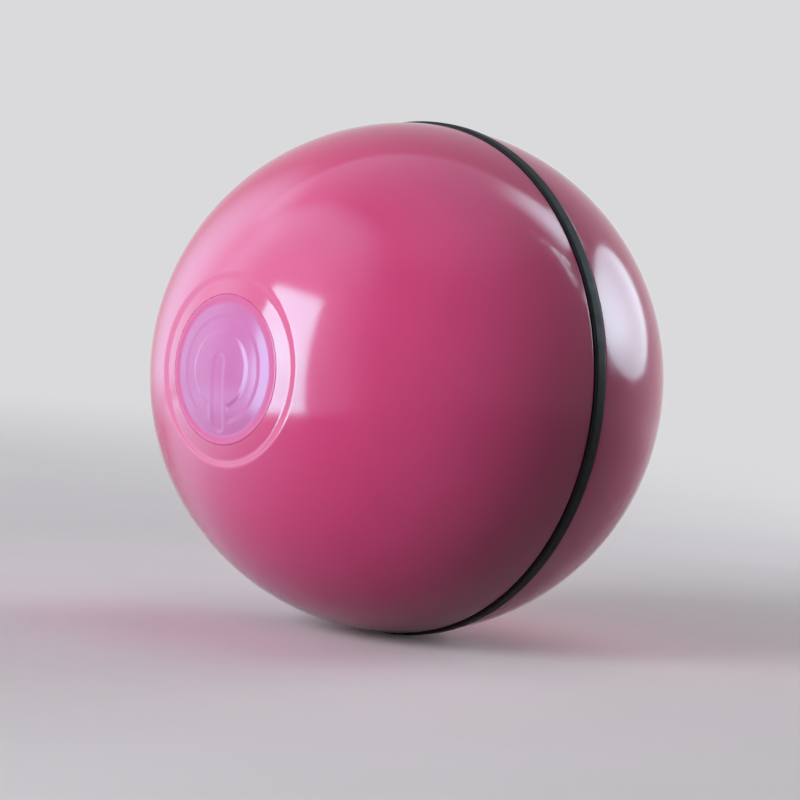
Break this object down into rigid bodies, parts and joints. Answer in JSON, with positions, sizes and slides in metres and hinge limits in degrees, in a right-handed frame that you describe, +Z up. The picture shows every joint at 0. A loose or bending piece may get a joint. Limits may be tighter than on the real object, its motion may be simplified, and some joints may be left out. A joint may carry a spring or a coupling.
{
  "type": "self-rolling cat ball",
  "caption": "Motorised ball toy whose two glossy half shells turn about a hanging, weighted chassis, with a push button at one pole and a plugged charging port at the other.",
  "frame": {"origin": "centre of the ball", "axes": "the shells turn about Y; -Y is the button's pole, +Y the charging port's pole, +Z up, and the ball rolls along X"},
  "size_m": [0.0646, 0.0635, 0.0646],
  "materials": {
    "pink_shell": "glossy moulded pink plastic",
    "pink_button": "glossy moulded lilac-pink plastic",
    "black_band": "soft black rubber with a satin surface",
    "pink_silicone": "soft matte silicone",
    "white_moulding": "white moulded plastic",
    "black_moulding": "dark moulded plastic",
    "gear_plastic": "natural acetal",
    "bush_metal": "turned sintered bronze",
    "steel": "plated steel",
    "weight_steel": "sawn and tumbled steel",
    "cell_foil": "laminated foil pouch",
    "foam": "closed-cell foam",
    "board_green": "solder-masked glass fibre",
    "chip_black": "moulded epoxy with tinned leads",
    "capacitor_can": "drawn aluminium can",
    "lamp_white": "clear and white lamp body",
    "connector_white": "moulded nylon",
    "lead_insulation": "soft insulation, red and black"
  },
  "bodies": {
    "chassis": {"chassis_frame": "black_moulding", "gearbox_cover": "black_moulding", "gearbox_screws": "steel", "front_bush": "gear_plastic", "rear_bush": "gear_plastic", "shaft_bush": "bush_metal", "motor_can": "steel", "motor_endbell": "white_moulding", "motor_terminals": "bush_metal", "motor_screws": "steel", "motor_leads": "lead_insulation", "first_gear_pin": "steel", "counterweight": "weight_steel", "weight_screws": "steel", "battery_cell": "cell_foil", "battery_pad": "foam", "battery_leads": "lead_insulation", "battery_connector": "connector_white", "circuit_board": "board_green", "board_screws": "steel", "tact_switch": "chip_black", "usb_socket": "steel", "usb_tongue": "chip_black", "controller_chip": "chip_black", "driver_chip": "chip_black", "charger_chip": "chip_black", "inductor": "chip_black", "capacitors": "capacitor_can", "resistors": "chip_black", "status_leds": "lamp_white", "motion_sensor": "bush_metal"},
    "shell": {"front_shell": "pink_shell", "rear_shell": "pink_shell", "grip_band": "black_band", "front_hub": "white_moulding", "front_hub_screws": "steel", "rear_hub": "white_moulding", "rear_hub_screws": "steel", "drive_gear": "gear_plastic", "button_spring": "steel"},
    "button": {"power_button": "pink_button"},
    "plunger": {"switch_plunger": "chip_black"},
    "plug": {"port_plug": "pink_silicone"},
    "motor_rotor": {"motor_shaft": "steel", "motor_pinion": "gear_plastic"},
    "first_gears": {"first_gear": "gear_plastic"},
    "second_gears": {"second_gear": "gear_plastic", "second_shaft": "steel", "output_pinion": "gear_plastic"}
  },
  "joints": [
    {"name": "drive_spin", "type": "hinge", "parent": "chassis", "child": "shell", "pos_m": [0, 0, 0], "axis": [0, 1, 0], "continuous": true},
    {"name": "motor_spin", "type": "hinge", "parent": "chassis", "child": "motor_rotor", "pos_m": [0, 0, -0.0135], "axis": [0, 1, 0], "continuous": true},
    {"name": "first_gear_spin", "type": "hinge", "parent": "chassis", "child": "first_gears", "pos_m": [0.0095, 0, -0.0135], "axis": [0, 1, 0], "continuous": true},
    {"name": "second_gear_spin", "type": "hinge", "parent": "chassis", "child": "second_gears", "pos_m": [0, 0, -0.0135], "axis": [0, 1, 0], "continuous": true},
    {"name": "button_press", "type": "slide", "parent": "shell", "child": "button", "axis": [0, 1, 0], "range_m": [0, 0.0005], "stiffness_N_per_m": 400, "springref_m": -0.002, "deforming": ["button_spring"]},
    {"name": "plunger_press", "type": "slide", "parent": "chassis", "child": "plunger", "axis": [0, 1, 0], "range_m": [0, 0.0005]},
    {"name": "plug_pull", "type": "slide", "parent": "shell", "child": "plug", "axis": [0, 1, 0], "range_m": [0, 0.008]}
  ],
  "couplings": [
    {"joint": "second_gear_spin", "follows": "drive_spin", "ratio": -3.5},
    {"joint": "first_gear_spin", "follows": "drive_spin", "ratio": 9.8},
    {"joint": "motor_spin", "follows": "drive_spin", "ratio": -27.44},
    {"joint": "plunger_press", "follows": "button_press", "ratio": 1}
  ]
}
